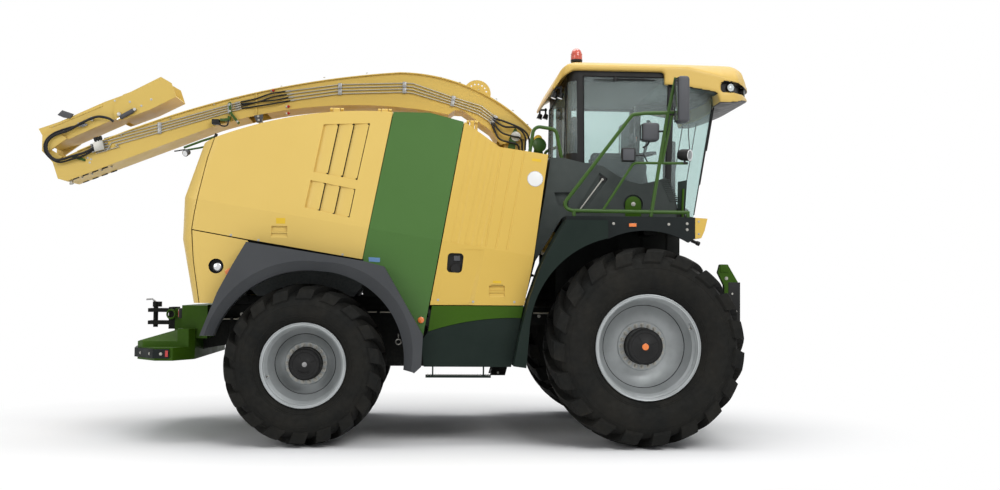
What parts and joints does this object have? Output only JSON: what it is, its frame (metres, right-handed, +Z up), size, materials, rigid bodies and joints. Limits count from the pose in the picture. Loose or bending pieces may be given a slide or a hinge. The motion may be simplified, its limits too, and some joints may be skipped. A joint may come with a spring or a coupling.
{
  "type": "forage harvester",
  "caption": "Self-propelled forage harvester with a glazed cab, panelled engine body, curved discharge spout folded for the road and a feeder coupler in front.",
  "frame": {"origin": "on the ground below the middle of the machine's outer box", "axes": "+X towards the cab's front and the feeder, +Y to the driver's left, +Z up"},
  "size_m": [7.532, 3.3042, 4.105],
  "materials": {
    "beige_paint": "semi-gloss",
    "green_paint": "semi-gloss",
    "dark_plastic": "satin",
    "dark_paint": "satin",
    "rim_silver": "satin",
    "tyre_rubber": "matte",
    "clear_glass": "clear",
    "seat_fabric": "woven",
    "roof_paint": "semi-gloss",
    "lamp_orange": "glossy",
    "engine_cast": "rough",
    "roll_steel": "brushed",
    "mirror_black": "satin"
  },
  "bodies": {
    "machine": {"chassis_frame": "dark_paint", "front_axle": "dark_paint", "rear_axle": "dark_paint", "engine_block": "engine_cast", "counterweight": "green_paint", "trailer_hitch": "dark_paint", "green_side_panels": "green_paint", "top_deck": "beige_paint", "rear_side_panels": "beige_paint", "rear_fenders": "dark_plastic", "front_fender": "dark_plastic", "side_skirts": "dark_plastic", "skirt_tops": "green_paint", "rear_bumper": "dark_plastic", "roof_lamps": "dark_plastic", "fuel_tanks": "dark_plastic", "cab_plinth": "dark_plastic", "platform": "dark_plastic", "platform_noses": "beige_paint", "cab_frame": "dark_paint", "cab_glass": "clear_glass", "cab_roof": "roof_paint", "driver_seat": "seat_fabric", "seat_base": "dark_plastic", "steering_column": "dark_plastic", "handrails": "green_paint", "mirrors": "mirror_black", "lamps": "lamp_orange", "access_ladder": "dark_paint", "chopper_housing": "green_paint", "discharge_tower": "beige_paint"},
    "front_wheel_right": {"front_tyre_right": "tyre_rubber", "front_rim_right": "rim_silver"},
    "front_wheel_left": {"front_tyre_left": "tyre_rubber", "front_rim_left": "rim_silver"},
    "steering_right": {"knuckle_right": "dark_paint"},
    "steering_left": {"knuckle_left": "dark_paint"},
    "rear_wheel_right": {"rear_tyre_right": "tyre_rubber", "rear_rim_right": "rim_silver"},
    "rear_wheel_left": {"rear_tyre_left": "tyre_rubber", "rear_rim_left": "rim_silver"},
    "track_rod": {"tie_rod": "roll_steel"},
    "turret": {"spout_turret": "beige_paint"},
    "spout": {"spout_arm": "beige_paint"},
    "extension": {"spout_extension": "beige_paint"},
    "end_flap": {"spout_end_flap": "beige_paint"},
    "engine_lid_right": {"engine_panel_right": "beige_paint"},
    "engine_lid_left": {"engine_panel_left": "beige_paint"},
    "service_lid_right": {"service_panel_right": "beige_paint"},
    "service_lid_left": {"service_panel_left": "beige_paint"},
    "tail_hood": {"rear_hood": "beige_paint"},
    "door": {"cab_door": "dark_paint", "cab_door_glass": "clear_glass"},
    "feeder": {"feeder_housing": "green_paint"},
    "upper_roll": {"feed_roll_upper": "roll_steel"},
    "lower_roll": {"feed_roll_lower": "roll_steel"}
  },
  "joints": [
    {"name": "front_wheel_right_spin", "type": "hinge", "parent": "machine", "child": "front_wheel_right", "pos_m": [2.42, -1.25, 0.965], "axis": [0, 1, 0], "continuous": true},
    {"name": "front_wheel_left_spin", "type": "hinge", "parent": "machine", "child": "front_wheel_left", "pos_m": [2.42, 1.25, 0.965], "axis": [0, 1, 0], "continuous": true},
    {"name": "steer_right", "type": "hinge", "parent": "machine", "child": "steering_right", "pos_m": [-0.848, -0.88, 0.773], "axis": [0, 0, 1], "range_deg": [-30, 30]},
    {"name": "steer_left", "type": "hinge", "parent": "machine", "child": "steering_left", "pos_m": [-0.848, 0.88, 0.773], "axis": [0, 0, 1], "range_deg": [-30, 30]},
    {"name": "track_rod_slide", "type": "slide", "parent": "machine", "child": "track_rod", "axis": [0, 1, 0], "range_m": [-0.14, 0.14]},
    {"name": "rear_wheel_right_spin", "type": "hinge", "parent": "steering_right", "child": "rear_wheel_right", "pos_m": [-0.848, -1.135, 0.773], "axis": [0, 1, 0], "continuous": true},
    {"name": "rear_wheel_left_spin", "type": "hinge", "parent": "steering_left", "child": "rear_wheel_left", "pos_m": [-0.848, 1.135, 0.773], "axis": [0, 1, 0], "continuous": true},
    {"name": "spout_slew", "type": "hinge", "parent": "machine", "child": "turret", "pos_m": [1.33, 0, 2.9], "axis": [0, 0, 1], "range_deg": [-90, 90]},
    {"name": "spout_lift", "type": "hinge", "parent": "turret", "child": "spout", "pos_m": [1.25, 0, 3.15], "axis": [0, 1, 0], "range_deg": [0, 35]},
    {"name": "spout_fold", "type": "hinge", "parent": "spout", "child": "extension", "pos_m": [-3.665, 0, 2.905], "axis": [0, -1, 0], "range_deg": [0, 170]},
    {"name": "end_flap_tilt", "type": "hinge", "parent": "extension", "child": "end_flap", "pos_m": [-2.925, 0, 3.306], "axis": [0, -1, 0], "range_deg": [0, 45]},
    {"name": "engine_panel_right_lift", "type": "hinge", "parent": "machine", "child": "engine_lid_right", "pos_m": [-0.35, -1.08, 3.264], "axis": [-1, 0, 0], "range_deg": [0, 75]},
    {"name": "engine_panel_left_lift", "type": "hinge", "parent": "machine", "child": "engine_lid_left", "pos_m": [-0.35, 1.08, 3.264], "axis": [1, 0, 0], "range_deg": [0, 75]},
    {"name": "service_panel_right_lift", "type": "hinge", "parent": "machine", "child": "service_lid_right", "pos_m": [0.742, -1.08, 3.165], "axis": [-1, 0, 0], "range_deg": [0, 75]},
    {"name": "service_panel_left_lift", "type": "hinge", "parent": "machine", "child": "service_lid_left", "pos_m": [0.742, 1.08, 3.165], "axis": [1, 0, 0], "range_deg": [0, 75]},
    {"name": "rear_hood_lift", "type": "hinge", "parent": "machine", "child": "tail_hood", "pos_m": [-1.745, 0, 2.995], "axis": [0, 1, 0], "range_deg": [0, 60]},
    {"name": "cab_door_swing", "type": "hinge", "parent": "machine", "child": "door", "pos_m": [2.757, 0.897, 2.9], "axis": [0, 0, -1], "range_deg": [0, 80]},
    {"name": "feeder_lift", "type": "hinge", "parent": "machine", "child": "feeder", "pos_m": [2.86, 0, 1], "axis": [0, -1, 0], "range_deg": [-6, 12]},
    {"name": "upper_roll_spin", "type": "hinge", "parent": "feeder", "child": "upper_roll", "pos_m": [3.3, 0, 1.17], "axis": [0, 1, 0], "continuous": true},
    {"name": "lower_roll_spin", "type": "hinge", "parent": "feeder", "child": "lower_roll", "pos_m": [3.3, 0, 0.93], "axis": [0, 1, 0], "continuous": true}
  ],
  "couplings": [
    {"joint": "steer_left", "follows": "steer_right", "ratio": 1},
    {"joint": "track_rod_slide", "follows": "steer_right", "m_per_rad": -0.26},
    {"joint": "lower_roll_spin", "follows": "upper_roll_spin", "ratio": -1}
  ]
}
